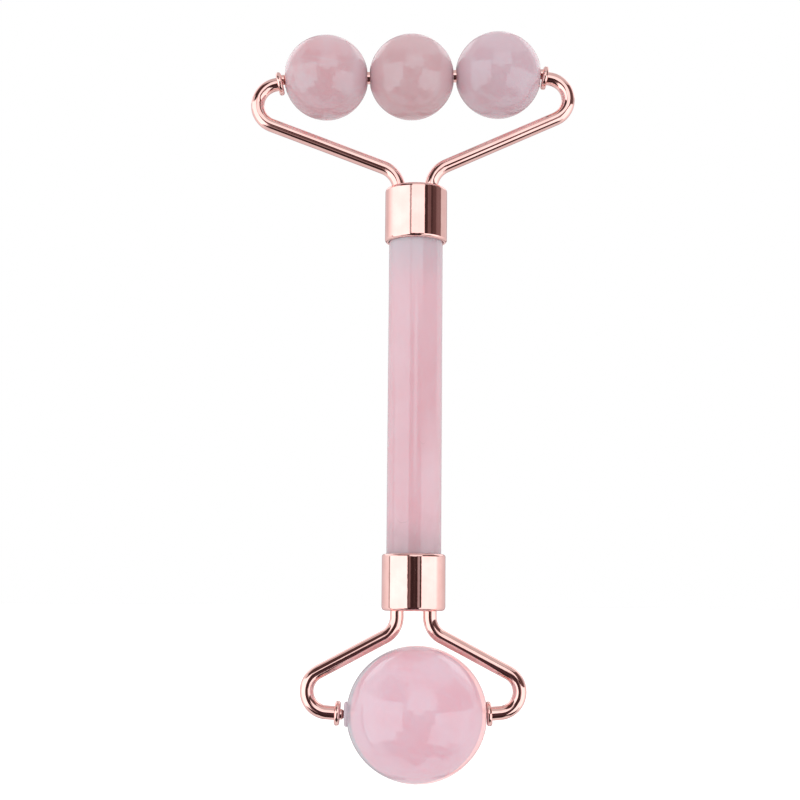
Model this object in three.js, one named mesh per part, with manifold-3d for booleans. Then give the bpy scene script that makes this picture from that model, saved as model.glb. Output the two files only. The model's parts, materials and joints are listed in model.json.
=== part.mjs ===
// A double-ended face roller: three small stone balls on one axle at the top, one large stone ball
// at the bottom, and a round stone handle between two metal ferrules that hold the wire yokes.
// Millimetres, +Z up along the handle. The origin is the middle of the lower ferrule's end face.
import * as THREE from 'three';
import { mergeVertices } from 'three/addons/utils/BufferGeometryUtils.js';
import Module from 'manifold-3d';

const wasm = await Module();
wasm.setup();

// ---- Driving dimensions ----

const ROD = { radius: 6, gripLength: 69.6, seatDepth: 4.2, chamfer: 0.4 };
const FERRULE = { radius: 6.96, boreRadius: 6.15, length: 12.3, endWall: 1.2, shoulder: 0.8, rim: 0.5 };
const WIRE = { radius: 1.5, legSpacing: 7.2, crownDepth: 1.6, holeGap: 0.25, pottingGap: 0.3 };
const PIN = { radius: 0.8, rootDepth: 0.4 };
const COLLAR = { radius: 2.65, thickness: 1.2, boreRadius: 1.6 };

// Each head is drawn in its own frame: the origin on the ferrule's end face, +Z away from the handle.
// The yoke's leg leaves the ferrule, bends out into a straight arm, hooks back and ends at the collar.
const UPPER = {
  lean: 1.8,
  shift: -0.27,
  axisHeight: 26.3,
  legRise: 0.05,
  legBendRadius: 5.7,
  armAngle: 22.5,
  armLength: 27.2,
  hookRadius: 4.95,
  tipTilt: 11,
  tipLength: 1.2,
  pinTip: 26,
  sweepSteps: 80,
};
const LOWER = {
  lean: 0.25,
  shift: 0,
  axisHeight: 22.15,
  legRise: 1.3,
  legBendRadius: 4.85,
  armAngle: 27.8,
  armLength: 16.3,
  hookRadius: 4.55,
  tipTilt: 4.5,
  tipLength: 2.5,
  pinTip: 12.4,
  sweepSteps: 64,
};

// Stone balls are ground by hand, so no two measure the same and the large one is a little longer along
// its axle than across. The left ball sits a little high, inside the play of its bore.
const SMALL_BORE = { boreRadius: 1.8, recessRadius: 2.5, recessFloor: 8.75 };
const SMALL_BALLS = {
  left: { radius: 9.6, along: -19.6, lift: 0.3, color: 0xcdaab2 },
  middle: { radius: 9.7, along: -0.15, lift: 0, color: 0xcfa9ae },
  right: { radius: 9.8, along: 19.6, lift: 0, color: 0xcfafb9 },
};
const LARGE_BALL = { radius: 14.68, halfLength: 15.2, boreRadius: 2.15, recessRadius: 2.85, recessFloor: 12.5 };
const LARGE_BALL_OFFSET = 0.8;
const TUBE = { radius: 1.4, boreRadius: 1.2 };
const AXLE_BUSH = { boreRadius: 0.9, sleeveRadius: 1.15, sleeveLength: 4.2, flangeRadius: 2, flangeThickness: 0.45 };
const BALL_BUSH = { boreRadius: 0.95, sleeveRadius: 2.05, sleeveLength: 4.3, flangeRadius: 2.7, flangeThickness: 2.05 };
const BUSH_EDGE = 0.3;
const SEAT_GAP = 0.04;
const RUNNING_GAP = 0.15;
const LEFT_BUSH_PROUD = 1.1;

// How many flats stand for a full turn of each round surface, and for the arc of each ball.
const ROUND = { rod: 40, ferrule: 48, ball: 36, bush: 24, collar: 24, wire: 12, pin: 16 };
const BALL_ARC_STEPS = { small: 16, large: 20 };
const UPPER_END = 2 * FERRULE.length + ROD.gripLength;

// ---- Materials ----

const stone = (color) => new THREE.MeshStandardMaterial({ color, roughness: 0.18, metalness: 0 });
const metal = () => new THREE.MeshStandardMaterial({ color: 0xdfa08c, roughness: 0.12, metalness: 1 });
const nylon = () => new THREE.MeshStandardMaterial({ color: 0xe4dde0, roughness: 0.4, metalness: 0 });
const resin = () => new THREE.MeshStandardMaterial({ color: 0xd8cbb4, roughness: 0.5, metalness: 0 });

// ---- Solids ----

// Turns a closed profile of [radius, height] points about the Z axis.
function turned(profile, segments) {
  const points = profile.map(([radius, height]) => new THREE.Vector2(radius, height));
  return new THREE.LatheGeometry(points, segments).rotateX(Math.PI / 2);
}

// Points on an arc in the profile plane, angles in degrees from the radius axis.
function arc(radiusCentre, heightCentre, radius, from, to, count) {
  return Array.from({ length: count + 1 }, (_, i) => {
    const angle = THREE.MathUtils.degToRad(from + ((to - from) * i) / count);
    return [radiusCentre + radius * Math.cos(angle), heightCentre + radius * Math.sin(angle)];
  });
}

function toManifold(geometry) {
  const bare = geometry.clone();
  bare.deleteAttribute('normal');
  bare.deleteAttribute('uv');
  const merged = mergeVertices(bare, 1e-4);
  return new wasm.Manifold(new wasm.Mesh({
    numProp: 3,
    vertProperties: new Float32Array(merged.attributes.position.array),
    triVerts: new Uint32Array(merged.index.array),
  }));
}

function toGeometry(manifold) {
  const { vertProperties, triVerts } = manifold.getMesh();
  const geometry = new THREE.BufferGeometry();
  geometry.setAttribute('position', new THREE.BufferAttribute(vertProperties, 3));
  geometry.setIndex(new THREE.BufferAttribute(triVerts, 1));
  geometry.computeVertexNormals();
  return geometry;
}

function cut(geometry, tools) {
  return toGeometry(tools.reduce((body, tool) => body.subtract(toManifold(tool)), toManifold(geometry)));
}

function join(geometry, others) {
  return toGeometry(others.reduce((body, other) => body.add(toManifold(other)), toManifold(geometry)));
}

// ---- Wire path ----

class Bend extends THREE.Curve {
  constructor(centre, radius, from, to) {
    super();
    Object.assign(this, { centre, radius, from, to });
  }

  getPoint(t, target = new THREE.Vector3()) {
    const angle = this.from + (this.to - this.from) * t;
    target.set(Math.cos(angle), 0, Math.sin(angle));
    return target.multiplyScalar(this.radius).add(this.centre);
  }
}

const direction = (heading) => new THREE.Vector3(Math.cos(heading), 0, Math.sin(heading));

// Follows a list of straight lengths and bends in the XZ plane. A bend's turn is in degrees,
// positive to the left of the way the wire runs.
function traceWire(start, startHeading, steps) {
  const path = new THREE.CurvePath();
  let point = start.clone();
  let heading = startHeading;
  for (const { length, radius, turn } of steps) {
    let curve;
    if (length !== undefined) {
      curve = new THREE.LineCurve3(point, point.clone().addScaledVector(direction(heading), length));
    } else {
      const side = Math.sign(turn) * Math.PI / 2;
      const centre = point.clone().addScaledVector(direction(heading + side), radius);
      const angle = THREE.MathUtils.degToRad(turn);
      curve = new Bend(centre, radius, heading - side, heading - side + angle);
      heading += angle;
    }
    path.add(curve);
    point = curve.getPoint(1);
  }
  return { path, end: point, heading };
}

// The steps from the crown to the wire's end on one side, which is the inner face of the collar.
function halfYokeSteps(head) {
  return [
    { length: WIRE.crownDepth + head.legRise },
    { radius: head.legBendRadius, turn: head.armAngle - 90 },
    { length: head.armLength },
    { radius: head.hookRadius, turn: 180 - head.tipTilt - head.armAngle },
    { length: head.tipLength + COLLAR.thickness / 2 },
  ];
}

function traceHalfYoke(head) {
  const foot = new THREE.Vector3(WIRE.legSpacing / 2, 0, -WIRE.crownDepth);
  return traceWire(foot, Math.PI / 2, halfYokeSteps(head));
}

// The whole wire: in from the left end, round the crown inside the ferrule and out to the right end.
function yokePath(head) {
  const { end, heading } = traceHalfYoke(head);
  const start = new THREE.Vector3(-end.x, 0, end.z);
  const outward = halfYokeSteps(head);
  const inward = [...outward].reverse();
  const crown = { radius: WIRE.legSpacing / 2, turn: 180 };
  return traceWire(start, -heading, [...inward, crown, ...outward]).path;
}

function crownPath() {
  const leg = { length: WIRE.crownDepth + FERRULE.endWall };
  const start = new THREE.Vector3(-WIRE.legSpacing / 2, 0, FERRULE.endWall);
  const crown = { radius: WIRE.legSpacing / 2, turn: 180 };
  return traceWire(start, -Math.PI / 2, [leg, crown, leg]).path;
}

function sweep(path, radius, steps) {
  const section = new THREE.Shape().absarc(0, 0, radius, 0, 2 * Math.PI);
  return new THREE.ExtrudeGeometry(section, { steps, curveSegments: ROUND.wire / 2, extrudePath: path });
}

// ---- Handle pieces ----

function rodGeometry() {
  const low = FERRULE.length - ROD.seatDepth;
  const high = UPPER_END - low;
  return turned([
    [0, low],
    [ROD.radius - ROD.chamfer, low],
    [ROD.radius, low + ROD.chamfer],
    [ROD.radius, high - ROD.chamfer],
    [ROD.radius - ROD.chamfer, high],
    [0, high],
  ], ROUND.rod);
}

// A cup in the head's frame: the closed end at z = 0, the open rim at -length.
function ferruleGeometry(holeTools) {
  const { radius, boreRadius, length, endWall, shoulder, rim } = FERRULE;
  const cup = turned([
    [0, -endWall],
    [boreRadius, -endWall],
    [boreRadius, -length],
    [radius - rim, -length],
    [radius, -length + rim],
    ...arc(radius - shoulder, -shoulder, shoulder, 0, 90, 5),
    [0, 0],
  ], ROUND.ferrule);
  return cut(cup, holeTools);
}

// The cured adhesive between the ferrule's end wall and the rod, with room for the wire's crown.
function pottingGeometry(crownTool) {
  const radius = FERRULE.boreRadius - WIRE.pottingGap / 2;
  const top = -FERRULE.endWall - SEAT_GAP;
  const bottom = -(FERRULE.length - ROD.seatDepth) + SEAT_GAP;
  const plug = turned([[0, bottom], [radius, bottom], [radius, top], [0, top]], ROUND.ferrule);
  return cut(plug, [crownTool]);
}

// ---- Yoke pieces ----

// The pin runs on the roller's own axis, from inside the wire's end to its tip.
function pinGeometry(head) {
  const root = traceHalfYoke(head).end.x + PIN.rootDepth;
  const length = root - head.pinTip;
  const pin = new THREE.CylinderGeometry(PIN.radius, PIN.radius, length, ROUND.pin).rotateZ(Math.PI / 2);
  return pin.translate(head.pinTip + length / 2, 0, head.axisHeight);
}

function yokeGeometry(head) {
  const right = pinGeometry(head);
  const left = right.clone().rotateY(Math.PI).translate(0, 0, 2 * head.axisHeight);
  return join(sweep(yokePath(head), WIRE.radius, head.sweepSteps), [left, right]);
}

function collarGeometry() {
  const { radius, thickness, boreRadius } = COLLAR;
  const round = thickness / 2;
  return turned([
    [boreRadius, -round],
    ...arc(radius - round, 0, round, -90, 90, 6),
    [boreRadius, round],
    [boreRadius, -round],
  ], ROUND.collar);
}

// ---- Roller pieces, each about its own Z axis ----

function tubeGeometry(halfLength) {
  return turned([
    [TUBE.boreRadius, -halfLength],
    [TUBE.radius, -halfLength],
    [TUBE.radius, halfLength],
    [TUBE.boreRadius, halfLength],
    [TUBE.boreRadius, -halfLength],
  ], ROUND.bush);
}

// The flange's inner face is at z = 0, the sleeve runs down from it.
function bushGeometry({ boreRadius, sleeveRadius, sleeveLength, flangeRadius, flangeThickness }) {
  const edge = Math.min(flangeThickness / 4, BUSH_EDGE);
  return turned([
    [boreRadius, -sleeveLength],
    [sleeveRadius, -sleeveLength],
    [sleeveRadius, 0],
    [flangeRadius, 0],
    [flangeRadius, flangeThickness - edge],
    [flangeRadius - edge, flangeThickness],
    [boreRadius, flangeThickness],
    [boreRadius, -sleeveLength],
  ], ROUND.bush);
}

// A ball with a bore through it, which may be longer along its axle than across. Each end may have a
// recess for a flange.
function ballGeometry(ball, lowRecess, highRecess, arcSteps) {
  const { radius, halfLength = radius, boreRadius, recessRadius, recessFloor } = ball;
  const mouth = (recessed) => (recessed ? recessRadius : boreRadius);
  const polarAngle = (recessed) => THREE.MathUtils.radToDeg(Math.acos(mouth(recessed) / radius));
  const low = lowRecess ? [[boreRadius, -recessFloor], [recessRadius, -recessFloor]] : [];
  const high = highRecess ? [[recessRadius, recessFloor], [boreRadius, recessFloor]] : [];
  const outside = arc(0, 0, radius, -polarAngle(lowRecess), polarAngle(highRecess), arcSteps);
  const stretched = outside.map(([across, along]) => [across, (along * halfLength) / radius]);
  const profile = [...low, ...stretched, ...high];
  return turned([...profile, profile[0]], ROUND.ball);
}

// ---- Assembly ----

function addMesh(group, name, geometry, material) {
  const mesh = new THREE.Mesh(geometry, material);
  mesh.name = name;
  group.add(mesh);
  return mesh;
}

// The frame in which a head is drawn, leaning a little to the left of the handle.
function headFrame(head, endHeight, pointsDown) {
  const frame = new THREE.Group();
  const lean = THREE.MathUtils.degToRad(head.lean);
  frame.position.set(head.shift, 0, endHeight);
  frame.rotation.set(pointsDown ? Math.PI : 0, pointsDown ? lean : -lean, 0);
  frame.updateMatrix();
  return frame;
}

// Ferrule, potting, yoke and collars of one head. The ferrule is square to the handle and the yoke
// leans with its own frame, so the cuts are made where the leaning wire passes.
function addHead(group, prefix, head, endHeight, pointsDown) {
  const frame = headFrame(head, endHeight, pointsDown);
  const upright = new THREE.Group();
  upright.position.z = endHeight;
  upright.rotation.x = pointsDown ? Math.PI : 0;
  upright.updateMatrix();
  const toUpright = upright.matrix.clone().invert().multiply(frame.matrix);

  const crownTool = (gap) => sweep(crownPath(), WIRE.radius + gap, 40).applyMatrix4(toUpright);
  addMesh(upright, `${prefix}_ferrule`, ferruleGeometry([crownTool(WIRE.holeGap)]), metal());
  addMesh(upright, `${prefix}_potting`, pottingGeometry(crownTool(WIRE.pottingGap)), resin());
  addMesh(frame, `${prefix}_yoke`, yokeGeometry(head), metal());

  const { end, heading } = traceHalfYoke(head);
  const centre = end.clone().addScaledVector(direction(heading), -COLLAR.thickness / 2);
  for (const [side, sign] of [['left', -1], ['right', 1]]) {
    const collar = addMesh(frame, `${prefix}_${side}_collar`, collarGeometry(), metal());
    collar.position.set(sign * centre.x, 0, centre.z);
    collar.rotation.y = sign * (Math.PI / 2 - heading);
  }
  group.add(upright, frame);
  return frame;
}

// A frame whose X axis is the roller's axis, and a way to lay turned pieces along it.
function axleFrame(headGroup, head, offset) {
  const axle = new THREE.Group();
  axle.position.set(offset, 0, head.axisHeight);
  headGroup.add(axle);
  return axle;
}

function layAlongAxle(mesh, x, pointsLeft) {
  mesh.rotation.y = pointsLeft ? -Math.PI / 2 : Math.PI / 2;
  mesh.position.x = x;
}

function addSmallRoller(headGroup) {
  const axle = axleFrame(headGroup, UPPER, 0);
  const flangeSeat = SMALL_BALLS.right.along + SMALL_BORE.recessFloor + RUNNING_GAP;
  layAlongAxle(addMesh(axle, 'axle_tube', tubeGeometry(flangeSeat - SEAT_GAP), metal()), 0, false);
  layAlongAxle(addMesh(axle, 'left_axle_bush', bushGeometry(AXLE_BUSH), metal()), -flangeSeat, true);
  layAlongAxle(addMesh(axle, 'right_axle_bush', bushGeometry(AXLE_BUSH), metal()), flangeSeat, false);

  for (const [side, { radius, along, lift, color }] of Object.entries(SMALL_BALLS)) {
    const geometry = ballGeometry({ radius, ...SMALL_BORE }, false, side !== 'middle', BALL_ARC_STEPS.small);
    const ball = addMesh(axle, `${side}_small_ball`, geometry, stone(color));
    layAlongAxle(ball, along, side === 'left');
    ball.position.z = lift;
  }
}

function addLargeRoller(headGroup) {
  const axle = axleFrame(headGroup, LOWER, LARGE_BALL_OFFSET);
  const flangeSeat = LARGE_BALL.recessFloor + SEAT_GAP;
  const ball = ballGeometry(LARGE_BALL, true, true, BALL_ARC_STEPS.large);
  layAlongAxle(addMesh(axle, 'large_ball', ball, stone(0xe4bfce)), 0, false);
  const proudSeat = flangeSeat + LEFT_BUSH_PROUD;
  layAlongAxle(addMesh(axle, 'left_ball_bush', bushGeometry(BALL_BUSH), nylon()), -proudSeat, true);
  layAlongAxle(addMesh(axle, 'right_ball_bush', bushGeometry(BALL_BUSH), nylon()), flangeSeat, false);
}

const roller = new THREE.Group();
addMesh(roller, 'handle_rod', rodGeometry(), stone(0xe2b8c4));
addSmallRoller(addHead(roller, 'upper', UPPER, UPPER_END, false));
addLargeRoller(addHead(roller, 'lower', LOWER, 0, true));

export default roller;
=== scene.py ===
# A double-ended rose quartz face roller: the looks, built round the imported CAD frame.
import json
import math

import bmesh
import bpy
from mathutils import Matrix, Vector


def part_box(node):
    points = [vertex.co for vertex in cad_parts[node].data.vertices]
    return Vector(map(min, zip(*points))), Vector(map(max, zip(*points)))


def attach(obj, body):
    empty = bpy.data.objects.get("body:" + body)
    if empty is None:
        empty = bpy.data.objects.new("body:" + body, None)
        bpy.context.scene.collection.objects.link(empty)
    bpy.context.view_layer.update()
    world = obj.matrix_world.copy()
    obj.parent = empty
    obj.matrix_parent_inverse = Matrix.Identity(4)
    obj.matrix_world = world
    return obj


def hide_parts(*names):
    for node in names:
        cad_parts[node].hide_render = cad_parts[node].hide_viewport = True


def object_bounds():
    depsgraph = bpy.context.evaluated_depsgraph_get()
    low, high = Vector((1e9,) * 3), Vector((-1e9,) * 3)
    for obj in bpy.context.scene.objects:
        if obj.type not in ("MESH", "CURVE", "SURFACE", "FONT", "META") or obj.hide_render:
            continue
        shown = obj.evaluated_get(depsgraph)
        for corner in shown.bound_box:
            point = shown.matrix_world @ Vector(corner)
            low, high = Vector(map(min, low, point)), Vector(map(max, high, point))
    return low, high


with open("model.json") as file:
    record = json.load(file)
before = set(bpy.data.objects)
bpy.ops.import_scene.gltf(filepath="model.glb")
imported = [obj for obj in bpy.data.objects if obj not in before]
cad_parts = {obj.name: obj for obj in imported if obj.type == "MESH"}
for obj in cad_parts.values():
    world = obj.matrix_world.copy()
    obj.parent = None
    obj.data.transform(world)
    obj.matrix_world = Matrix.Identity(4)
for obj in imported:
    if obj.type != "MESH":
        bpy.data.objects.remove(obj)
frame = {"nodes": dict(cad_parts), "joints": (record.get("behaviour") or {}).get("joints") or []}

CAD_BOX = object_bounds()
MM = 0.001
PER_METRE = 1000.0

# ---- Shape values in millimetres and degrees, beside what the frame gives ----

HEADS = {
    "upper": {
        "joint": "small_axle_spin",
        "leg_rise": 0.05,
        "leg_bend_radius": 5.7,
        "arm_angle": 22.5,
        "arm_length": 27.2,
        "hook_radius": 4.95,
        "tip_tilt": 11.0,
        "tip_length": 1.2,
        "pin_tip": 26.0,
    },
    "lower": {
        "joint": "large_roller_spin",
        "leg_rise": 1.3,
        "leg_bend_radius": 4.85,
        "arm_angle": 27.8,
        "arm_length": 16.3,
        "hook_radius": 4.55,
        "tip_tilt": 4.5,
        "tip_length": 2.5,
        "pin_tip": 12.4,
    },
}
LEG_SPACING = 7.2
CROWN_DEPTH = 1.6
HOLE_GAP = 0.06

# The pin, and its neck, which narrows between two distances from the wire's end.
PIN_RADIUS = 0.8
PIN_TIP_EDGE = 0.3
PIN_NECK_RADIUS = 1.15
PIN_NECK_NEAR = 0.35
PIN_NECK_FAR = 0.75
PIN_NECK_EDGE = 0.2
PIN_ROOT_DEPTH = 0.3

COLLAR_THICKNESS = 1.2
COLLAR_BORE_GAP = 0.02
COLLAR_BORE_EDGE = 0.12
COLLAR_ROUND = 0.92 * COLLAR_THICKNESS / 2

ROD_EDGE = 0.4
FERRULE_WALL = 0.81
FERRULE_END_WALL = 1.2
FERRULE_SHOULDER = 0.8
FERRULE_RIM = 0.6
FERRULE_LIP = 0.16
FERRULE_CORNER = 0.2

SMALL_BORE_RADIUS = 1.8
SMALL_RECESS = {"radius": 2.5, "floor": 8.75}
LARGE_BORE_RADIUS = 2.15
LARGE_RECESS = {"radius": 2.85, "floor": 12.5}
RECESS_EDGE = 0.1
MOUTH_EDGE = 0.22
MOUTH_MARGIN = 2.2 * MOUTH_EDGE
TUBE_WALL = 0.2
TUBE_EDGE = 0.08

AXLE_BUSH = {"bore_radius": 0.9, "sleeve_radius": 1.15, "sleeve_length": 4.2, "flange_thickness": 0.45}
BALL_BUSH = {"bore_radius": 0.95, "sleeve_radius": 2.05, "sleeve_length": 4.3, "flange_thickness": 2.05}
BUSH_EDGE = 0.45
BUSH_EDGE_SHARE = 0.38
BUSH_EDGES = {"sleeve": 0.06, "flange": 0.08, "mouth": 0.12}

# How finely the round surfaces are made. A side longer than the hold gets a point near each of its ends.
TURN_STEPS = 144
SMALL_TURN_STEPS = 96
BALL_ARC_STEPS = 90
WIRE_SIDES = 40
WIRE_STEP = 0.3
FILLET_STEPS = 7
SMOOTH_ANGLE = 40.0
HOLD_SIDE = 0.7
HOLD_MARGIN = 0.06

# The camera: where it stands beside the lower ferrule's end face, and how it looks.
EYE = Vector((-3.29, -329.87, 4.14)) * MM
EYE_PITCH = 7.28
EYE_ROLL = 0.48
LENS = 67.5
SENSOR = 36.0
CLIP_METRES = (0.01, 20.0)

FLOOR_DROP = 24.0
FLOOR_RADIUS = 6000.0
FLOOR_THICKNESS = 1.0
FLOOR_GLOW = 0.3

# The lamp, in metres and watts, and where it stands beside the middle of the roller.
LAMP_SIZE = 0.7
LAMP_ENERGY = 0.4
LAMP_OFFSET = Vector((-0.15, -0.35, 0.75))

# The dark card's edges, and how far behind the camera it stands.
CARD_SIDES = (-136.0, 128.0)
CARD_HEIGHTS = (-330.0, -60.0)
CARD_BEHIND_EYE = 12.0


# ---- Nodes ----

class Graph:
    """The nodes of one material or world, added a call at a time."""

    def __init__(self, owner):
        owner.use_nodes = True
        self.tree = owner.node_tree
        self.tree.nodes.clear()

    def add(self, kind, inputs=None, **settings):
        node = self.tree.nodes.new(kind)
        for name, value in settings.items():
            setattr(node, name, value)
        for name, value in (inputs or {}).items():
            self.feed(node.inputs[name], value)
        return node

    def feed(self, socket, value):
        if isinstance(value, bpy.types.NodeSocket):
            self.tree.links.new(value, socket)
        else:
            socket.default_value = value

    def math(self, operation, *values, clamp=False):
        node = self.add("ShaderNodeMath", operation=operation, use_clamp=clamp)
        for socket, value in zip(node.inputs, values):
            self.feed(socket, value)
        return node.outputs[0]

    def remap(self, value, low, high, to_low=0.0, to_high=1.0, smooth=True):
        kind = "SMOOTHSTEP" if smooth else "LINEAR"
        node = self.add("ShaderNodeMapRange", interpolation_type=kind)
        for name, fed in (("Value", value), ("From Min", low), ("From Max", high),
                          ("To Min", to_low), ("To Max", to_high)):
            self.feed(node.inputs[name], fed)
        return node.outputs[0]

    def blend(self, factor, first, second):
        node = self.add("ShaderNodeMix", data_type="RGBA")
        self.feed(node.inputs["Factor"], factor)
        self.feed(node.inputs[6], first)
        self.feed(node.inputs[7], second)
        return node.outputs[2]

    def mix(self, factor, first, second):
        node = self.add("ShaderNodeMix", data_type="FLOAT")
        self.feed(node.inputs["Factor"], factor)
        self.feed(node.inputs[2], first)
        self.feed(node.inputs[3], second)
        return node.outputs[0]

    def mix_shader(self, factor, first, second):
        node = self.add("ShaderNodeMixShader", {"Fac": factor})
        self.tree.links.new(first.outputs[0], node.inputs[1])
        self.tree.links.new(second.outputs[0], node.inputs[2])
        return node

    def millimetres(self, offset=(0.0, 0.0, 0.0), stretch=(1.0, 1.0, 1.0)):
        """The piece's own coordinates in millimetres, moved and stretched."""
        coords = self.add("ShaderNodeTexCoord").outputs["Object"]
        scale = tuple(PER_METRE * share for share in stretch)
        node = self.add("ShaderNodeMapping", {"Vector": coords, "Location": offset, "Scale": scale})
        return node.outputs[0]

    def noise(self, coords, scale, detail=2.0, roughness=0.5, distortion=0.0):
        node = self.add("ShaderNodeTexNoise", {
            "Vector": coords, "Scale": scale, "Detail": detail,
            "Roughness": roughness, "Distortion": distortion})
        return node.outputs["Fac"]

    def bump(self, height, distance, strength=1.0):
        node = self.add("ShaderNodeBump", {"Height": height, "Distance": distance, "Strength": strength})
        return node.outputs[0]

    def finish(self, shader, kind="ShaderNodeOutputMaterial"):
        output = self.add(kind)
        self.tree.links.new(shader.outputs[0], output.inputs["Surface"])


def rgb(red, green, blue):
    """A colour given as a screen shows it, 0 to 255, turned into light."""
    def linear(level):
        share = level / 255
        return share / 12.92 if share <= 0.04045 else ((share + 0.055) / 1.055) ** 2.4
    return linear(red), linear(green), linear(blue), 1.0


# ---- Looks of the stones ----

# How strongly the painted warm glow on the stones' right limb is also emitted, though the stone is no
# lamp.
PAINTED_GLOW_STRENGTH = 0.22
VEIN_COLOUR = rgb(176, 128, 132)
COOL_SHINE = (0.6, 0.95, 1.0, 1.0)

# Painted reflection: the paler colour that the polished metal shows of the stones, seen only by reflected
# rays, and how far that is from their own colour.
MIRRORED_STONE = rgb(246, 232, 236)
MIRRORED_SHARE = 0.7

# Each stone's look. The handle's ends are (start, end, share, colour), with heights along the rod: greyer
# towards the upper end, and painted shade, darker, towards the lower ferrule.
# The painted light at the stones' limbs: the colour of the painted warm glow on the right and of the
# painted grey haze on the left.
RIM_LIGHT = {"painted_glow_colour": rgb(255, 196, 196), "painted_veil_colour": rgb(200, 194, 204)}
HANDLE_LOOK = {
    "pale": rgb(232, 194, 203),
    "deep": rgb(230, 185, 194),
    "cloud": rgb(231, 199, 207),
    "limb": rgb(213, 187, 198),
    "limb_shine": 0.25,
    "glow": 0.0,
    "painted_veil": 0.0,
    "vein": 0.22,
    "roughness": 0.03,
    "rod_end_tints": ((24.5, 37.5, 0.95, rgb(211, 192, 200)), (-22.0, -35.5, 0.9, rgb(190, 160, 167))),
    **RIM_LIGHT,
}
SMALL_LOOK = {
    "limb": rgb(222, 189, 197),
    "limb_shine": 0.1,
    "glow": 0.0,
    "vein": 0.03,
    "roughness": 0.02,
    **RIM_LIGHT,
}
SMALL_LOOKS = {
    "left": {
        "pale": rgb(216, 185, 192),
        "deep": rgb(218, 175, 181),
        "cloud": rgb(213, 200, 207),
        "painted_veil": 0.25,
        **SMALL_LOOK,
    },
    "middle": {
        "pale": rgb(214, 180, 185),
        "deep": rgb(211, 172, 176),
        "cloud": rgb(218, 191, 194),
        "painted_veil": 0.1,
        **SMALL_LOOK,
    },
    "right": {
        "pale": rgb(214, 186, 195),
        "deep": rgb(211, 179, 186),
        "cloud": rgb(215, 195, 204),
        "painted_veil": 0.2,
        **SMALL_LOOK,
    },
}
LARGE_LOOK = {
    "pale": rgb(235, 200, 212),
    "deep": rgb(237, 192, 204),
    "cloud": rgb(236, 206, 218),
    "limb": rgb(230, 191, 203),
    "limb_shine": 0.3,
    "glow": 0.9,
    "painted_veil": 0.85,
    "vein": 0.05,
    "roughness": 0.02,
    **RIM_LIGHT,
}


# ---- Materials ----

def rose_gold():
    """Polished rose gold plating: near mirror, with faint haze, fine scratches and paler worn edges."""
    material = bpy.data.materials.new("rose_gold")
    graph = Graph(material)
    plain = graph.millimetres()
    haze = graph.noise(plain, 0.25, 3.0)
    scratch_coords = graph.millimetres(offset=(3.0, 8.0, 1.0), stretch=(1.0, 1.0, 0.06))
    scratches = graph.noise(scratch_coords, 9.0, 4.0, 0.7)
    fine = graph.remap(scratches, 0.55, 0.75)
    edge = graph.remap(graph.add("ShaderNodeNewGeometry").outputs["Pointiness"], 0.52, 0.62)

    tone = graph.blend(graph.remap(haze, 0.3, 0.7), rgb(241, 194, 188), rgb(246, 203, 197))
    colour = graph.blend(graph.math("MULTIPLY", edge, 0.35), tone, rgb(255, 226, 216))
    roughness = graph.math("ADD", graph.math("MULTIPLY", haze, 0.045), 0.015)
    roughness = graph.math("ADD", roughness, graph.math("MULTIPLY", fine, 0.05))
    roughness = graph.math("ADD", roughness, graph.math("MULTIPLY", edge, 0.06))
    height = graph.math("ADD", graph.noise(plain, 1.1, 2.0), graph.math("MULTIPLY", fine, 0.05))
    shader = graph.add("ShaderNodeBsdfPrincipled", {
        "Base Color": colour,
        "Metallic": 1.0,
        "Roughness": roughness,
        "Specular Tint": rgb(255, 242, 244),
        "Normal": graph.bump(height, 0.006 * MM),
    })
    graph.finish(shader)
    return material


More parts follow.
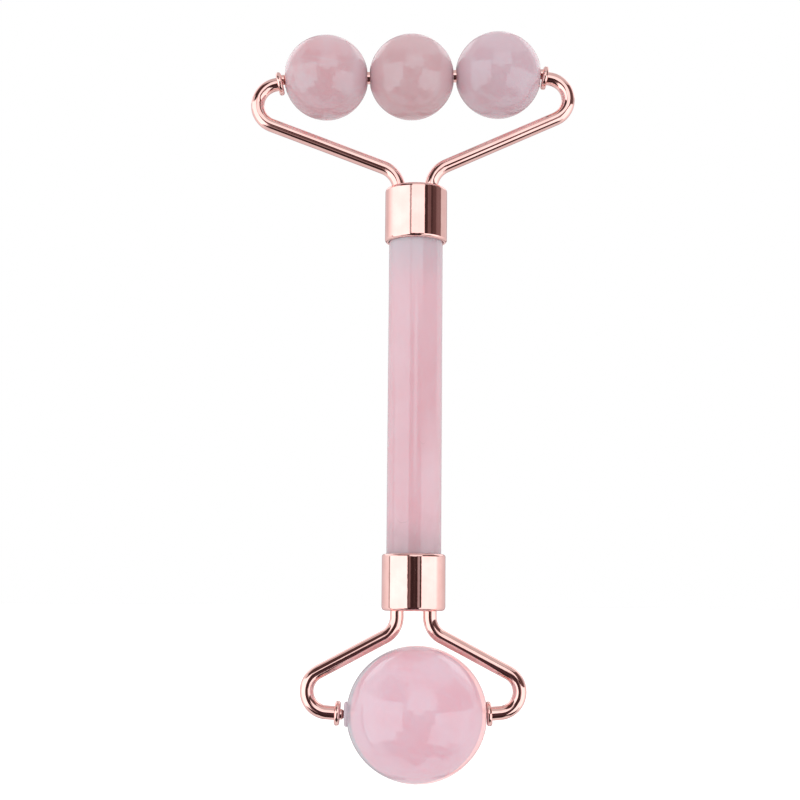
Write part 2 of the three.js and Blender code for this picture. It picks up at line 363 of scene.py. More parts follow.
def rose_quartz(name, look, seed):
    """Polished rose quartz: soft light inside, drifting clouds, milky wisps and a few hairline veins.

    The look gives the colours, and how strongly light that has crossed the stone is painted at its limb: a
    painted grey haze on the left and a painted warm glow on the right, set by the world's sides, beside
    painted limb shading by view angle.
    The rod's ends, at heights along it, are greyer at the top and darker with painted shade at the bottom.
    """
    material = bpy.data.materials.new(name)
    graph = Graph(material)
    shift = (seed * 13.7, seed * 5.3, seed * 29.1)
    coords = graph.millimetres(offset=shift)
    drift = graph.noise(coords, 0.055, 3.0, 0.5, 0.8)
    mottle = graph.noise(coords, 0.24, 5.0, 0.6, 0.5)
    wisp_coords = graph.millimetres(offset=shift, stretch=(1.0, 1.0, 0.35))
    wisps = graph.remap(graph.noise(wisp_coords, 0.16, 6.0, 0.62, 1.6), 0.5, 0.72)

    body = graph.blend(graph.remap(drift, 0.32, 0.68), look["deep"], look["pale"])
    body = graph.blend(graph.math("MULTIPLY", graph.remap(mottle, 0.4, 0.7), 0.3), body, look["pale"])
    body = graph.blend(graph.math("MULTIPLY", wisps, 0.4), body, look["cloud"])

    vein_noise = graph.noise(wisp_coords, 0.11, 2.0, 0.5, 0.4)
    from_vein = graph.math("ABSOLUTE", graph.math("SUBTRACT", vein_noise, 0.5))
    vein = graph.remap(from_vein, 0.0, 0.004, 1.0, 0.0)
    vein_patch = graph.remap(graph.noise(coords, 0.15, 2.0), 0.56, 0.68)
    vein = graph.math("MULTIPLY", graph.math("MULTIPLY", vein, vein_patch), look["vein"])
    body = graph.blend(vein, body, VEIN_COLOUR)

    # The rod's ends: greyer towards the upper end, and painted shade, darker, towards the lower ferrule.
    if "rod_end_tints" in look:
        along = graph.add("ShaderNodeSeparateXYZ", {"Vector": graph.millimetres()}).outputs["Z"]
        wavy = graph.math("ADD", along, graph.math("MULTIPLY", mottle, 5.0))
        for start, end, share, rod_end_colour in look["rod_end_tints"]:
            rod_end_tints = graph.remap(wavy, start, end)
            body = graph.blend(graph.math("MULTIPLY", rod_end_tints, share), body, rod_end_colour)

    facing = graph.add("ShaderNodeLayerWeight", {"Blend": 0.5}).outputs["Facing"]
    normal = graph.add("ShaderNodeNewGeometry").outputs["Normal"]
    rightward = graph.add("ShaderNodeSeparateXYZ", {"Vector": normal}).outputs["X"]
    rim = graph.remap(facing, 0.5, 0.95)
    # Painted limb shading: the colour turns towards the look's limb colour where the surface is seen
    # edge-on.
    body = graph.blend(graph.math("MULTIPLY", rim, 0.5), body, look["limb"])
    # Painted grey haze of light on the left limb, set by the world's sides, as though light had crossed
    # the stone.
    painted_veil = graph.remap(graph.math("MULTIPLY_ADD", rightward, -0.25, facing), 0.84, 0.94)
    body = graph.blend(graph.math("MULTIPLY", painted_veil, look["painted_veil"]), body, look["painted_veil_colour"])
    # Painted warm glow on the right limb, set by the world's sides; it is also emitted below.
    glow = graph.remap(graph.math("MULTIPLY_ADD", rightward, 0.22, facing), 0.80, 0.86)
    glow = graph.math("MULTIPLY", glow, look["glow"])
    body = graph.blend(glow, body, look["painted_glow_colour"])

    # Painted reflection: reflected rays see the stones paler than their own colour.
    mirrored_ray = graph.add("ShaderNodeLightPath").outputs["Is Glossy Ray"]
    body = graph.blend(graph.math("MULTIPLY", mirrored_ray, MIRRORED_SHARE), body, MIRRORED_STONE)

    polish = graph.noise(coords, 0.8, 3.0)
    pits = graph.remap(graph.noise(coords, 2.6, 4.0, 0.6), 0.68, 0.80)
    roughness = graph.math("ADD", graph.math("MULTIPLY", polish, 0.035), look["roughness"])
    roughness = graph.math("ADD", roughness, graph.math("MULTIPLY", pits, 0.08))
    height = graph.math("SUBTRACT", polish, graph.math("MULTIPLY", pits, 0.2))
    height = graph.math("SUBTRACT", height, vein)
    shader = graph.add("ShaderNodeBsdfPrincipled", {
        "Base Color": body,
        "Roughness": roughness,
        "IOR": 1.54,
        "Specular IOR Level": graph.mix(rim, 0.62, look["limb_shine"]),
        "Specular Tint": COOL_SHINE,
        "Subsurface Weight": 0.75,
        "Subsurface Radius": (1.0, 0.62, 0.66),
        "Subsurface Scale": 2.2 * MM,
        # The painted glow is also emitted, though the stone is no lamp.
        "Emission Color": look["painted_glow_colour"],
        "Emission Strength": graph.math("MULTIPLY", glow, PAINTED_GLOW_STRENGTH),
        "Normal": graph.bump(height, 0.005 * MM),
    })
    graph.finish(shader)
    return material


def nylon():
    """Translucent white nylon with a faint moulded grain."""
    material = bpy.data.materials.new("bush_nylon")
    graph = Graph(material)
    coords = graph.millimetres()
    mottle = graph.noise(coords, 0.7, 4.0)
    grain = graph.noise(coords, 6.0, 3.0)
    colour = graph.blend(mottle, rgb(206, 190, 199), rgb(220, 206, 214))
    shader = graph.add("ShaderNodeBsdfPrincipled", {
        "Base Color": colour,
        "Roughness": graph.math("ADD", graph.math("MULTIPLY", grain, 0.2), 0.28),
        "Subsurface Weight": 0.6,
        "Subsurface Radius": (1.0, 0.9, 0.9),
        "Subsurface Scale": 1.0 * MM,
        "Normal": graph.bump(grain, 0.02 * MM),
    })
    graph.finish(shader)
    return material


def adhesive():
    """Cured amber resin with trapped bubbles."""
    material = bpy.data.materials.new("adhesive")
    graph = Graph(material)
    coords = graph.millimetres()
    cloud = graph.noise(coords, 0.5, 4.0)
    bubbles = graph.remap(graph.noise(coords, 3.0, 2.0), 0.6, 0.7)
    colour = graph.blend(cloud, rgb(214, 198, 166), rgb(190, 168, 128))
    shader = graph.add("ShaderNodeBsdfPrincipled", {
        "Base Color": colour,
        "Roughness": graph.math("ADD", graph.math("MULTIPLY", bubbles, 0.3), 0.35),
        "Normal": graph.bump(bubbles, 0.05 * MM),
    })
    graph.finish(shader)
    return material


# ---- Outlines ----

def rounded(corners, closed=False):
    """Points of an outline whose corners, given as (radius, height, fillet), are rounded."""
    points = []
    count = len(corners)
    for index, (radius, height, fillet) in enumerate(corners):
        corner = Vector((radius, height))
        at_end = not closed and index in (0, count - 1)
        if fillet == 0 or at_end:
            points.append(corner)
            continue
        before = Vector(corners[index - 1][:2])
        after = Vector(corners[(index + 1) % count][:2])
        points.extend(fillet_points(before, corner, after, fillet))
    return held(points, closed)


def held(points, closed):
    """The outline with a point close to each end of every long side, so that its shading stays flat."""
    result = []
    for index, point in enumerate(points):
        result.append(point)
        if index == len(points) - 1 and not closed:
            break
        side = points[(index + 1) % len(points)] - point
        if side.length > HOLD_SIDE:
            result.append(point + side.normalized() * HOLD_MARGIN)
            result.append(point + side - side.normalized() * HOLD_MARGIN)
    return result


def fillet_points(before, corner, after, fillet):
    inward = (before - corner).normalized()
    outward = (after - corner).normalized()
    half = inward.angle(outward) / 2
    centre = corner + (inward + outward).normalized() * (fillet / math.sin(half))
    first = corner + inward * (fillet / math.tan(half)) - centre
    last = corner + outward * (fillet / math.tan(half)) - centre
    sweep = first.angle(last)
    arc = []
    for step in range(FILLET_STEPS + 1):
        share = step / FILLET_STEPS
        near = math.sin((1 - share) * sweep)
        far = math.sin(share * sweep)
        arc.append(centre + (first * near + last * far) / math.sin(sweep))
    return arc


def arc_corners(radius, start, end, steps):
    """Corners without fillets on an arc about the origin, angles in degrees from the radius axis."""
    corners = []
    for step in range(steps + 1):
        angle = math.radians(start + (end - start) * step / steps)
        corners.append((radius * math.cos(angle), radius * math.sin(angle), 0.0))
    return corners


# ---- Meshes ----

def new_piece(name, vertices, faces):
    mesh = bpy.data.meshes.new(name)
    mesh.from_pydata([Vector(v) * MM for v in vertices], [], faces)
    piece = bpy.data.objects.new(name, mesh)
    bpy.context.scene.collection.objects.link(piece)
    clean(piece)
    return piece


def clean(piece):
    """Merges doubled points, turns the faces outward and smooths all but the sharp edges."""
    shell = bmesh.new()
    shell.from_mesh(piece.data)
    bmesh.ops.remove_doubles(shell, verts=shell.verts, dist=1e-7)
    bmesh.ops.recalc_face_normals(shell, faces=shell.faces)
    for face in shell.faces:
        face.smooth = True
    shell.to_mesh(piece.data)
    shell.free()
    piece.data.set_sharp_from_angle(angle=math.radians(SMOOTH_ANGLE))


def turned(name, points, steps, hollow=False):
    """Turns an outline of (radius, height) points about Z. A hollow outline closes on itself."""
    vertices = []
    rings = []
    for radius, height in points:
        if radius < 1e-6:
            rings.append([len(vertices)] * steps)
            vertices.append((0.0, 0.0, height))
            continue
        rings.append(list(range(len(vertices), len(vertices) + steps)))
        for step in range(steps):
            angle = 2 * math.pi * step / steps
            vertices.append((radius * math.cos(angle), radius * math.sin(angle), height))
    pairs = list(zip(rings, rings[1:]))
    if hollow:
        pairs.append((rings[-1], rings[0]))
    faces = []
    for low, high in pairs:
        for step in range(steps):
            after = (step + 1) % steps
            corners = dict.fromkeys((low[step], low[after], high[after], high[step]))
            if len(corners) > 2:
                faces.append(tuple(corners))
    return new_piece(name, vertices, faces)


def swept(name, stations, radius):
    """A round wire along stations of (point, direction) that lie in the XZ plane, with flat ends."""
    vertices = []
    faces = []
    for point, along in stations:
        across = Vector((along.z, 0.0, -along.x))
        for side in range(WIRE_SIDES):
            angle = 2 * math.pi * side / WIRE_SIDES
            ray = across * math.cos(angle) + Vector((0.0, 1.0, 0.0)) * math.sin(angle)
            vertices.append(point + ray * radius)
    for ring in range(len(stations) - 1):
        low = ring * WIRE_SIDES
        high = low + WIRE_SIDES
        for side in range(WIRE_SIDES):
            after = (side + 1) % WIRE_SIDES
            faces.append((low + side, low + after, high + after, high + side))
    faces.append(tuple(range(WIRE_SIDES)))
    last = (len(stations) - 1) * WIRE_SIDES
    faces.append(tuple(range(last, last + WIRE_SIDES)))
    return new_piece(name, vertices, faces)


def combine(piece, tools, operation):
    """Joins the tools to the piece or cuts them from it, and removes the tools."""
    for tool in tools:
        modifier = piece.modifiers.new("boolean", "BOOLEAN")
        modifier.operation = operation
        modifier.solver = "EXACT"
        modifier.object = tool
    bpy.context.view_layer.update()
    evaluated = piece.evaluated_get(bpy.context.evaluated_depsgraph_get())
    result = bpy.data.meshes.new_from_object(evaluated)
    piece.modifiers.clear()
    piece.data = result
    for tool in tools:
        bpy.data.objects.remove(tool)
    clean(piece)
    return piece


def settle(piece, matrix, body, node, material):
    """Puts a finished piece in its place, on its body, for its CAD node."""
    piece.matrix_world = matrix
    piece.data.materials.clear()
    piece.data.materials.append(material)
    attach(piece, body)
    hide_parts(node)
    return piece


# ---- Frames and sizes from the CAD ----

def half_width(node):
    """Half of a round node's depth, which is its radius, in millimetres."""
    low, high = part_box(node)
    return (high.y - low.y) / 2 / MM


def joint(name):
    return next(j for j in frame["joints"] if j["name"] == name)


def head_matrix(prefix):
    """The frame of one head: X on its roller's axis, Z away from the handle, origin on the end face."""
    spin = joint(HEADS[prefix]["joint"])
    pivot = Vector(spin["pos_m"])
    across = Vector(spin["axis"])
    upward = 1.0 if prefix == "upper" else -1.0
    away = Vector((-across.z, 0.0, across.x)) * upward
    low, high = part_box(prefix + "_ferrule")
    end_height = high.z if prefix == "upper" else low.z
    origin = pivot - away * ((pivot.z - end_height) / away.z)
    side = away.cross(across)
    matrix = Matrix((across, side, away)).transposed().to_4x4()
    matrix.translation = origin
    return matrix


def axis_height(prefix):
    pivot = Vector(joint(HEADS[prefix]["joint"])["pos_m"])
    return (pivot - head_matrix(prefix).translation).length / MM


def along_axle(prefix, offset, leftward=False):
    """A frame whose Z lies along a roller's axis, at an offset in millimetres from the head's middle."""
    centre = head_matrix(prefix) @ (Vector((offset, 0.0, axis_height(prefix))) * MM)
    return beside_axle(prefix, centre, leftward)


def beside_axle(prefix, centre, leftward=False):
    """A frame whose Z runs the way a roller's axis does, about a point in metres."""
    turn = Matrix.Rotation(math.radians(-90.0 if leftward else 90.0), 4, "Y")
    matrix = head_matrix(prefix) @ turn
    matrix.translation = centre
    return matrix


# ---- Wire ----

def half_wire(prefix):
    """Stations of (point, direction) from the foot of one leg to the wire's end."""
    head = HEADS[prefix]
    legs = CROWN_DEPTH + head["leg_rise"]
    hook_turn = 180 - head["tip_tilt"] - head["arm_angle"]
    moves = [
        (legs, None),
        (head["leg_bend_radius"], head["arm_angle"] - 90),
        (head["arm_length"], None),
        (head["hook_radius"], hook_turn),
        (head["tip_length"] + COLLAR_THICKNESS / 2, None),
    ]
    return follow(Vector((LEG_SPACING / 2, 0.0, -CROWN_DEPTH)), 90.0, moves)


def follow(start, heading, moves):
    """Follows straight moves (length, None) and bends (radius, turn) in the XZ plane."""
    point = start.copy()
    stations = [(point.copy(), heading_vector(heading))]
    for size, turn in moves:
        length = size if turn is None else size * math.radians(abs(turn))
        count = max(1, math.ceil(length / WIRE_STEP))
        for _ in range(count):
            if turn is None:
                point = point + heading_vector(heading) * (length / count)
            else:
                step_turn = turn / count
                chord = 2 * size * math.sin(math.radians(abs(step_turn)) / 2)
                point = point + heading_vector(heading + step_turn / 2) * chord
                heading += step_turn
            stations.append((point.copy(), heading_vector(heading)))
    return stations


def heading_vector(heading):
    angle = math.radians(heading)
    return Vector((math.cos(angle), 0.0, math.sin(angle)))


def crown(straight):
    """Stations down the left leg, round the crown inside the ferrule and up the right leg.

    The legs run straight for a length in millimetres beyond the ferrule's end face.
    """
    leg = (straight + CROWN_DEPTH, None)
    return follow(Vector((-LEG_SPACING / 2, 0.0, straight)), -90.0, [leg, (LEG_SPACING / 2, 180.0), leg])


def mirrored(stations):
    """The same stations on the left side, running the other way, towards the crown."""
    return [(Vector((-p.x, 0.0, p.z)), Vector((d.x, 0.0, -d.z))) for p, d in reversed(stations)]


def wire_radius(prefix):
    return half_width(prefix + "_yoke")


def pin(prefix, sign):
    """The pin on the roller's axis, with a neck where it leaves the wire's end."""
    head = HEADS[prefix]
    root = half_wire(prefix)[-1][0].x
    outline = rounded([
        (0.0, head["pin_tip"], 0.0),
        (PIN_RADIUS, head["pin_tip"], PIN_TIP_EDGE),
        (PIN_RADIUS, root - PIN_NECK_FAR, PIN_NECK_EDGE),
        (PIN_NECK_RADIUS, root - PIN_NECK_NEAR, PIN_NECK_EDGE),
        (PIN_NECK_RADIUS, root + PIN_ROOT_DEPTH, 0.0),
        (0.0, root + PIN_ROOT_DEPTH, 0.0),
    ])
    piece = turned("pin", outline, SMALL_TURN_STEPS)
    turn = Matrix.Rotation(math.radians(90.0 * sign), 4, "Y")
    piece.matrix_world = Matrix.Translation(Vector((0.0, 0.0, axis_height(prefix))) * MM) @ turn
    return piece


def make_yoke(prefix, metal):
    half = half_wire(prefix)
    middle = follow(Vector((-LEG_SPACING / 2, 0.0, -CROWN_DEPTH)), -90.0, [(LEG_SPACING / 2, 180.0)])
    stations = mirrored(half) + middle[1:-1] + half
    piece = swept(prefix + "_yoke_wire", stations, wire_radius(prefix))
    combine(piece, [pin(prefix, -1), pin(prefix, 1)], "UNION")
    settle(piece, head_matrix(prefix), "handle", prefix + "_yoke", metal)


def make_collars(prefix, metal):
    radius = half_width(prefix + "_left_collar")
    bore = wire_radius(prefix) + COLLAR_BORE_GAP
    half = COLLAR_THICKNESS / 2
    outline = rounded([
        (bore, -half, COLLAR_BORE_EDGE),
        (radius, -half, COLLAR_ROUND),
        (radius, half, COLLAR_ROUND),
        (bore, half, COLLAR_BORE_EDGE),
    ], closed=True)
    end, along = half_wire(prefix)[-1]
    centre = end - along * half
    tilt = math.atan2(along.x, along.z)
    for side, sign in (("left", -1), ("right", 1)):
        piece = turned(f"{prefix}_{side}_collar_ring", outline, SMALL_TURN_STEPS, hollow=True)
        place = Matrix.Translation(Vector((sign * centre.x, 0.0, centre.z)) * MM)
        turn = Matrix.Rotation(sign * tilt, 4, "Y")
        matrix = head_matrix(prefix) @ place @ turn
        settle(piece, matrix, "handle", f"{prefix}_{side}_collar", metal)


# ---- Handle ----

def make_rod(stone):
    low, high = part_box("handle_rod")
    radius = half_width("handle_rod")
    half = (high.z - low.z) / 2 / MM
    corners = [
        (0.0, -half, 0.0),
        (radius, -half, ROD_EDGE),
        (radius, half, ROD_EDGE),
        (0.0, half, 0.0),
    ]
    piece = turned("handle_stone_rod", rounded(corners), TURN_STEPS)
    matrix = Matrix.Translation((low + high) / 2)
    settle(piece, matrix, "handle", "handle_rod", stone)


def make_ferrule(prefix, metal):
    """A cup with a rounded shoulder and rim, and two holes where the leaning wire comes out."""
    node = prefix + "_ferrule"
    low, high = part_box(node)
    radius = half_width(node)
    length = (high.z - low.z) / MM
    bore = radius - FERRULE_WALL
    outline = rounded([
        (0.0, -FERRULE_END_WALL, 0.0),
        (bore, -FERRULE_END_WALL, FERRULE_CORNER),
        (bore, -length, FERRULE_LIP),
        (radius, -length, FERRULE_RIM),
        (radius, 0.0, FERRULE_SHOULDER),
        (0.0, 0.0, 0.0),
    ])
    piece = turned(node + "_cup", outline, TURN_STEPS)
    end_height = high.z if prefix == "upper" else low.z
    upright = Matrix.Translation((0.0, 0.0, end_height))
    if prefix == "lower":
        upright = upright @ Matrix.Rotation(math.pi, 4, "X")
    hole = swept("hole", crown(2 * FERRULE_END_WALL), wire_radius(prefix) + HOLE_GAP)
    hole.matrix_world = upright.inverted() @ head_matrix(prefix)
    combine(piece, [hole], "DIFFERENCE")
    settle(piece, upright, "handle", node, metal)


def coat_potting(prefix, resin):
    """Gives the CAD's own solid of the adhesive, which is hidden inside the ferrule, its material."""
    potting = frame["nodes"][prefix + "_potting"]
    potting.data.materials.clear()
    potting.data.materials.append(resin)


# ---- Rollers ----

def ball_outline(radius, half_length, bore, low_mouth, high_mouth):
    """A ball's outline: the round outside, and a mouth at each end that may be a recess with a floor."""
    def mouth_angle(mouth):
        return math.degrees(math.acos(mouth["radius"] / radius))

    def mouth_corners(mouth, sign):
        at = math.radians(mouth_angle(mouth))
        corners = [(mouth["radius"], sign * half_length * math.sin(at), MOUTH_EDGE)]
        if mouth.get("floor"):
            corners.append((mouth["radius"], sign * mouth["floor"], RECESS_EDGE))
            corners.append((bore, sign * mouth["floor"], RECESS_EDGE))
        return corners

    margin = math.degrees(MOUTH_MARGIN / radius)
    start = margin - mouth_angle(low_mouth)
    end = mouth_angle(high_mouth) - margin
    stretch = half_length / radius
    outside = [(across, along * stretch, fillet)
               for across, along, fillet in arc_corners(radius, start, end, BALL_ARC_STEPS)]
    low = list(reversed(mouth_corners(low_mouth, -1)))
    high = mouth_corners(high_mouth, 1)
    return rounded(low + outside + high, closed=True)


def make_small_balls(stones):
    """Three balls, each with its own size and centre. The outer two are recessed for the bushes."""
    plain = {"radius": SMALL_BORE_RADIUS}
    for side, stone in stones.items():
        radius = half_width(f"{side}_small_ball")
        outer = plain if side == "middle" else SMALL_RECESS
        outline = ball_outline(radius, radius, SMALL_BORE_RADIUS, plain, outer)
        piece = turned(f"{side}_small_stone", outline, TURN_STEPS, hollow=True)
        centre = Vector(joint(f"{side}_ball_spin")["pos_m"])
        matrix = beside_axle("upper", centre, leftward=side == "left")
        settle(piece, matrix, f"{side}_ball", f"{side}_small_ball", stone)


def make_large_ball(stone):
    """The large ball, a little longer along its axle than across, with a recess at each end."""
    radius = half_width("large_ball")
    low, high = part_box("large_ball")
    mouth_angle = math.acos(LARGE_RECESS["radius"] / radius)
    half_length = (high.x - low.x) / 2 / MM / math.sin(mouth_angle)
    outline = ball_outline(radius, half_length, LARGE_BORE_RADIUS, LARGE_RECESS, LARGE_RECESS)
    piece = turned("large_stone", outline, TURN_STEPS, hollow=True)
    settle(piece, centred_on_axle("large_ball"), "large_roller", "large_ball", stone)


def centred_on_axle(node):
    """A frame whose Z lies along the lower axle, at the middle of a node's box."""
    low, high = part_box(node)
    head = head_matrix("lower")
    offset = ((low + high) / 2 - head.translation).dot(head.col[0].to_3d())
    return along_axle("lower", offset / MM)


def bush_outline(shape, flange_radius):
    """A flanged bush: the flange's inner face is at height 0, and the sleeve runs down from it."""
    top = shape["flange_thickness"]
    bottom = -shape["sleeve_length"]
    return rounded([
        (shape["bore_radius"], bottom, BUSH_EDGES["sleeve"]),
        (shape["sleeve_radius"], bottom, BUSH_EDGES["sleeve"]),
        (shape["sleeve_radius"], 0.0, 0.0),
        (flange_radius, 0.0, BUSH_EDGES["flange"]),
        (flange_radius, top, min(top * BUSH_EDGE_SHARE, BUSH_EDGE)),
        (shape["bore_radius"], top, BUSH_EDGES["mouth"]),
    ], closed=True)


def make_axle(metal):
    low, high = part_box("axle_tube")
    radius = half_width("axle_tube")
    across = Vector(joint("small_axle_spin")["axis"])
    half = (high.x - low.x) / 2 / MM / across.x - radius * abs(across.z)
    outline = rounded([
        (radius - TUBE_WALL, -half, 0.0),
        (radius, -half, TUBE_EDGE),
        (radius, half, TUBE_EDGE),
        (radius - TUBE_WALL, half, 0.0),
    ], closed=True)
    piece = turned("axle_tube_sleeve", outline, SMALL_TURN_STEPS, hollow=True)
    settle(piece, along_axle("upper", 0.0), "small_axle", "axle_tube", metal)


def flange_seat(node, shape, prefix, sign):
    """How far along the axle a bush's flange seats, from the outer face that its box gives."""
    low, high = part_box(node)
    head = head_matrix(prefix)
    across = head.col[0].to_3d()
    outer = max((Vector((x, 0.0, (low.z + high.z) / 2)) - head.translation).dot(across) * sign
                for x in (low.x, high.x))
    lean = abs(across.z) * half_width(node)
    return outer / MM - lean - shape["flange_thickness"]


def make_bushes(prefix, stem, shape, body, material):
    for side, sign in (("left", -1), ("right", 1)):
        node = f"{side}_{stem}"
        outline = bush_outline(shape, half_width(node))
        piece = turned(node + "_turned", outline, SMALL_TURN_STEPS, hollow=True)
        seat = flange_seat(node, shape, prefix, sign)
        matrix = along_axle(prefix, sign * seat, leftward=sign < 0)
        settle(piece, matrix, body, node, material)


# ---- Studio ----

# Patches of the studio that polished surfaces reflect: the bearing from the camera's side, positive to
# the right, and the height above the horizon, both in degrees, with how soft the low and high edges of
# the bearing are and how bright the patch is. Later patches lie over earlier ones.
PATCHES = {
    "zenith": {"bearing": (-180, 180), "height": (46, 90), "soft": (6, 6), "light": 0.68},
    "ground": {"bearing": (-180, 180), "height": (-90, -58), "soft": (8, 8), "light": 0.85},
    "rear glow left": {"bearing": (-125, -102), "height": (-40, 9), "soft": (50, 2), "light": 1.08},
    "rear glow right": {"bearing": (94, 122), "height": (-40, 9), "soft": (2, 50), "light": 1.1},
    "front wall": {"bearing": (-66, 44), "height": (-50, 40), "soft": (5, 5), "light": 0.04},
    "front floor": {"bearing": (-48, 42), "height": (-90, -36), "soft": (6, 6), "light": 0.03},
    "left floor": {"bearing": (-70, 10), "height": (-62, -36), "soft": (6, 6), "light": 0.03},
    "right floor": {"bearing": (38, 92), "height": (-62, -45), "soft": (6, 6), "light": 0.05},
    "left ceiling": {"bearing": (-85, -20), "height": (34, 58), "soft": (8, 4), "light": 0.08},
    "left fold": {"bearing": (-19, -12), "height": (-14, 5), "soft": (3, 5), "light": 0.22},
    "right fold": {"bearing": (14, 22), "height": (-8, 5), "soft": (6, 2), "light": 0.45},
    "left window": {"bearing": (-97, -23), "height": (-36, 10), "soft": (2, 3), "light": 1.7},
    "left window edge": {"bearing": (-101, -95), "height": (-40, 8), "soft": (2, 2), "light": 0.45},
    "left window sill": {"bearing": (-36, -14), "height": (-37, -23), "soft": (8, 3), "light": 0.32},
    "left window top": {"bearing": (-112, -22), "height": (9, 23), "soft": (50, 2), "light": 1.65},
    "right window": {"bearing": (28, 94), "height": (-36, 6), "soft": (3, 14), "light": 1.6},
    "low right window": {"bearing": (21, 60), "height": (-44, -13), "soft": (3, 5), "light": 1.45},
    "right curtain": {"bearing": (33, 104), "height": (7, 44), "soft": (2, 4), "light": 0.05},
    "first fold": {"bearing": (43, 57), "height": (7, 44), "soft": (4, 4), "light": 0.17},
    "second fold": {"bearing": (64, 104), "height": (7, 44), "soft": (8, 4), "light": 0.1},
    "third fold": {"bearing": (80, 104), "height": (7, 44), "soft": (14, 4), "light": 0.24},
    "centre strip": {"bearing": (-5, 10), "height": (4, 14), "soft": (4, 4), "light": 1.4},
    "top window": {"bearing": (-18, 31), "height": (11, 18), "soft": (2, 3), "light": 1.5},
    "high window": {"bearing": (-16, 34), "height": (17, 42), "soft": (9, 4), "light": 1.3},
    "window frame": {"bearing": (-24, -19), "height": (9, 22), "soft": (2, 2), "light": 0.55},
    "rear window left": {"bearing": (-172, -122), "height": (20, 48), "soft": (4, 4), "light": 1.5},
    "rear window right": {"bearing": (122, 172), "height": (20, 48), "soft": (4, 4), "light": 1.5},
    "rear slit": {"bearing": (158, 166), "height": (-50, 50), "soft": (3, 3), "light": 0.3},
    "rear strip": {"bearing": (-172, -162), "height": (-50, 50), "soft": (3, 3), "light": 0.35},
}
HEIGHT_SOFT = 3

# The light where no patch lies, and the most that a streak adds.
REAR_LIGHT = 0.79
STREAK_LIGHT = 0.07

# The tint of bright patches, of dark ones and of the dark card, and the level where the dark tint ends.
WARM = (1.0, 0.985, 0.98, 1.0)
GLOOM = (1.0, 0.58, 0.56, 1.0)
CARD_GLOOM = (1.0, 0.6, 0.7, 1.0)
GLOOM_LEVEL = 0.6

# The even light on matt surfaces, from straight above and from straight below.
WHITE = (1.0, 1.0, 1.0, 1.0)
FILL_TOP = 0.91
FILL_BOTTOM = 1.38


def band(graph, value, limits, soft, ends):
    """One inside the limits and zero outside them. A limit at the end of the scale has no edge."""
    inside = 1.0
    for limit, width, levels in ((limits[0], soft[0], (0.0, 1.0)), (limits[1], soft[1], (1.0, 0.0))):
        if abs(limit) < ends:
            edge = graph.remap(value, limit - width / 2, limit + width / 2, *levels)
            inside = graph.math("MULTIPLY", inside, edge)
    return inside


def reflected_studio(graph, x, y, z):
    """The patches and a few streaks, as a background that is pinker where it is dark."""
    from_front = graph.math("ARCTAN2", x, graph.math("MULTIPLY", y, -1.0))
    bearing = graph.math("DEGREES", from_front)
    height = graph.math("DEGREES", graph.math("ARCSINE", z))

    light = REAR_LIGHT
    for patch in PATCHES.values():
        across = band(graph, bearing, patch["bearing"], patch["soft"], 180)
        upward = band(graph, height, patch["height"], (HEIGHT_SOFT, HEIGHT_SOFT), 90)
        light = graph.mix(graph.math("MULTIPLY", across, upward), light, patch["light"])
    streak_inputs = {"W": bearing, "Scale": 0.3, "Detail": 3.0}
    streak_noise = graph.add("ShaderNodeTexNoise", streak_inputs, noise_dimensions="1D")
    streaks = graph.remap(streak_noise.outputs["Fac"], 0.45, 0.75, 0.0, STREAK_LIGHT)
    tint = graph.blend(graph.remap(light, 0.0, GLOOM_LEVEL), GLOOM, WARM)
    strength = graph.math("ADD", light, streaks)
    return graph.add("ShaderNodeBackground", {"Color": tint, "Strength": strength})


def make_world():
    """Plain white to the camera, even light for matt surfaces, and a studio for polished ones."""
    world = bpy.data.worlds.new("studio")
    bpy.context.scene.world = world
    graph = Graph(world)
    direction = graph.add("ShaderNodeTexCoord").outputs["Generated"]
    split = graph.add("ShaderNodeSeparateXYZ", {"Vector": direction})
    x, y, z = split.outputs["X"], split.outputs["Y"], split.outputs["Z"]
    reflected = reflected_studio(graph, x, y, z)
    fill_level = graph.remap(z, -1.0, 1.0, FILL_BOTTOM, FILL_TOP, smooth=False)
    fill = graph.add("ShaderNodeBackground", {"Color": WHITE, "Strength": fill_level})
    seen = graph.add("ShaderNodeBackground", {"Color": WHITE, "Strength": 1.0})
    rays = graph.add("ShaderNodeLightPath")
    sharp = graph.math("MAXIMUM", rays.outputs["Is Glossy Ray"], rays.outputs["Is Transmission Ray"])
    unseen = graph.mix_shader(sharp, fill, reflected)
    whole = graph.mix_shader(rays.outputs["Is Camera Ray"], unseen, seen)
    graph.finish(whole, "ShaderNodeOutputWorld")


def make_camera_gloom():
    """A dark card low behind the camera that only reflections see, where the table's edge would be."""
    left, right = CARD_SIDES
    bottom, top = CARD_HEIGHTS
    depth = EYE.y / MM - CARD_BEHIND_EYE
    corners = [(left, depth, bottom), (right, depth, bottom), (right, depth, top), (left, depth, top)]
    card = new_piece("camera_gloom", corners, [(0, 1, 2, 3)])
    material = bpy.data.materials.new("gloom")
    graph = Graph(material)
    folds = graph.noise(graph.millimetres(stretch=(1.0, 1.0, 0.02)), 0.035, 3.0, 0.6)
    strength = graph.remap(folds, 0.4, 0.7, 0.045, 0.10)
    graph.finish(graph.add("ShaderNodeEmission", {"Color": CARD_GLOOM, "Strength": strength}))
    card.data.materials.append(material)
    card.visible_camera = False
    card.visible_diffuse = False
    card.visible_shadow = False


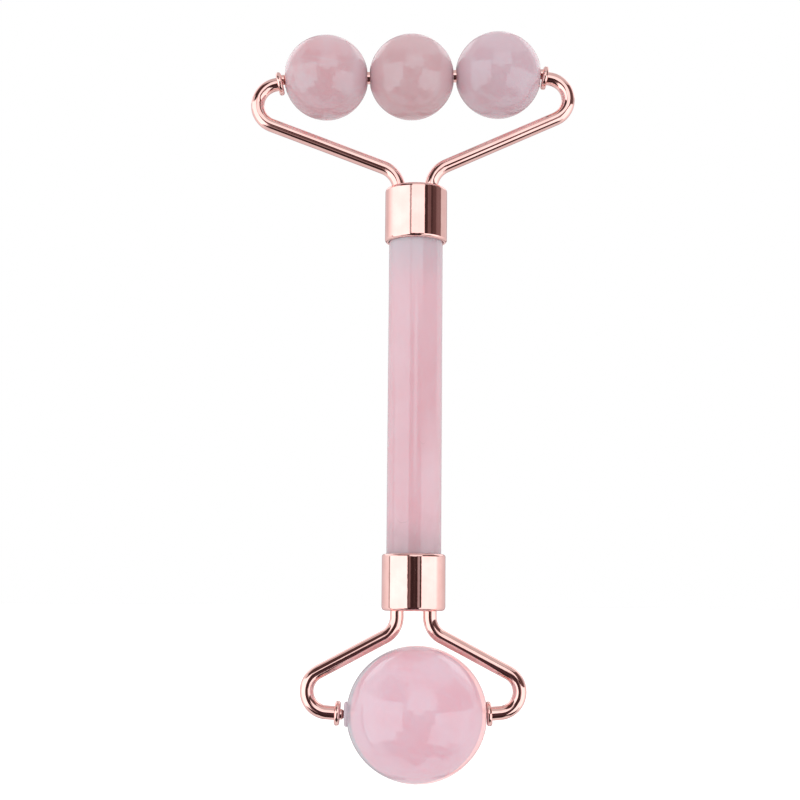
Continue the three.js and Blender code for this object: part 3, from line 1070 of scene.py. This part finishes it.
def make_floor():
    """A plain pale round floor, below the large ball."""
    top = CAD_BOX[0].z / MM - FLOOR_DROP
    bottom = top - FLOOR_THICKNESS
    outline = [(0.0, top), (FLOOR_RADIUS, top), (FLOOR_RADIUS, bottom), (0.0, bottom)]
    floor = turned("floor", outline, SMALL_TURN_STEPS)
    material = bpy.data.materials.new("floor")
    graph = Graph(material)
    coords = graph.millimetres()
    mottle = graph.noise(coords, 0.02, 3.0)
    colour = graph.blend(mottle, (0.93, 0.93, 0.93, 1.0), (0.95, 0.95, 0.95, 1.0))
    shader = graph.add("ShaderNodeBsdfPrincipled", {
        "Base Color": colour,
        "Roughness": 0.9,
        "Emission Color": WHITE,
        "Emission Strength": FLOOR_GLOW,
    })
    graph.finish(shader)
    floor.data.materials.append(material)
    floor.visible_glossy = False
    floor.visible_diffuse = False


def make_light():
    """One large soft light above and in front, for gentle shape on the stones and a soft floor shadow."""
    low, high = CAD_BOX
    lamp = bpy.data.lights.new("overhead", "AREA")
    lamp.shape = "DISK"
    lamp.size = LAMP_SIZE
    lamp.energy = LAMP_ENERGY
    lamp_object = bpy.data.objects.new("overhead", lamp)
    bpy.context.scene.collection.objects.link(lamp_object)
    lamp_object.location = (low + high) / 2 + LAMP_OFFSET
    lamp_object.rotation_euler = (-LAMP_OFFSET).to_track_quat("-Z", "Y").to_euler()
    lamp_object.visible_glossy = False
    lamp_object.visible_camera = False


def make_camera():
    camera = bpy.data.cameras.new("camera")
    camera.lens = LENS
    camera.sensor_width = SENSOR
    camera.clip_start, camera.clip_end = CLIP_METRES
    camera_object = bpy.data.objects.new("camera", camera)
    bpy.context.scene.collection.objects.link(camera_object)
    pitch = Matrix.Rotation(math.radians(90.0 + EYE_PITCH), 4, "X")
    roll = Matrix.Rotation(math.radians(EYE_ROLL), 4, "Z")
    camera_object.matrix_world = Matrix.Translation(EYE) @ pitch @ roll
    bpy.context.scene.camera = camera_object


# ---- Assembly ----

def build():
    metal = rose_gold()
    white = nylon()
    resin = adhesive()
    handle_stone = rose_quartz("handle_stone", HANDLE_LOOK, 1.0)
    small_stones = {}
    for seed, (side, look) in enumerate(SMALL_LOOKS.items(), start=2):
        small_stones[side] = rose_quartz(f"{side}_small_stone", look, float(seed))
    large_stone = rose_quartz("large_ball_stone", LARGE_LOOK, 5.0)

    make_rod(handle_stone)
    for prefix in HEADS:
        make_ferrule(prefix, metal)
        make_yoke(prefix, metal)
        make_collars(prefix, metal)
        coat_potting(prefix, resin)
    make_axle(metal)
    make_bushes("upper", "axle_bush", AXLE_BUSH, "small_axle", metal)
    make_small_balls(small_stones)
    make_large_ball(large_stone)
    make_bushes("lower", "ball_bush", BALL_BUSH, "large_roller", white)


build()
make_world()
make_camera_gloom()
make_floor()
make_light()
make_camera()
bpy.context.scene.view_settings.view_transform = "Standard"
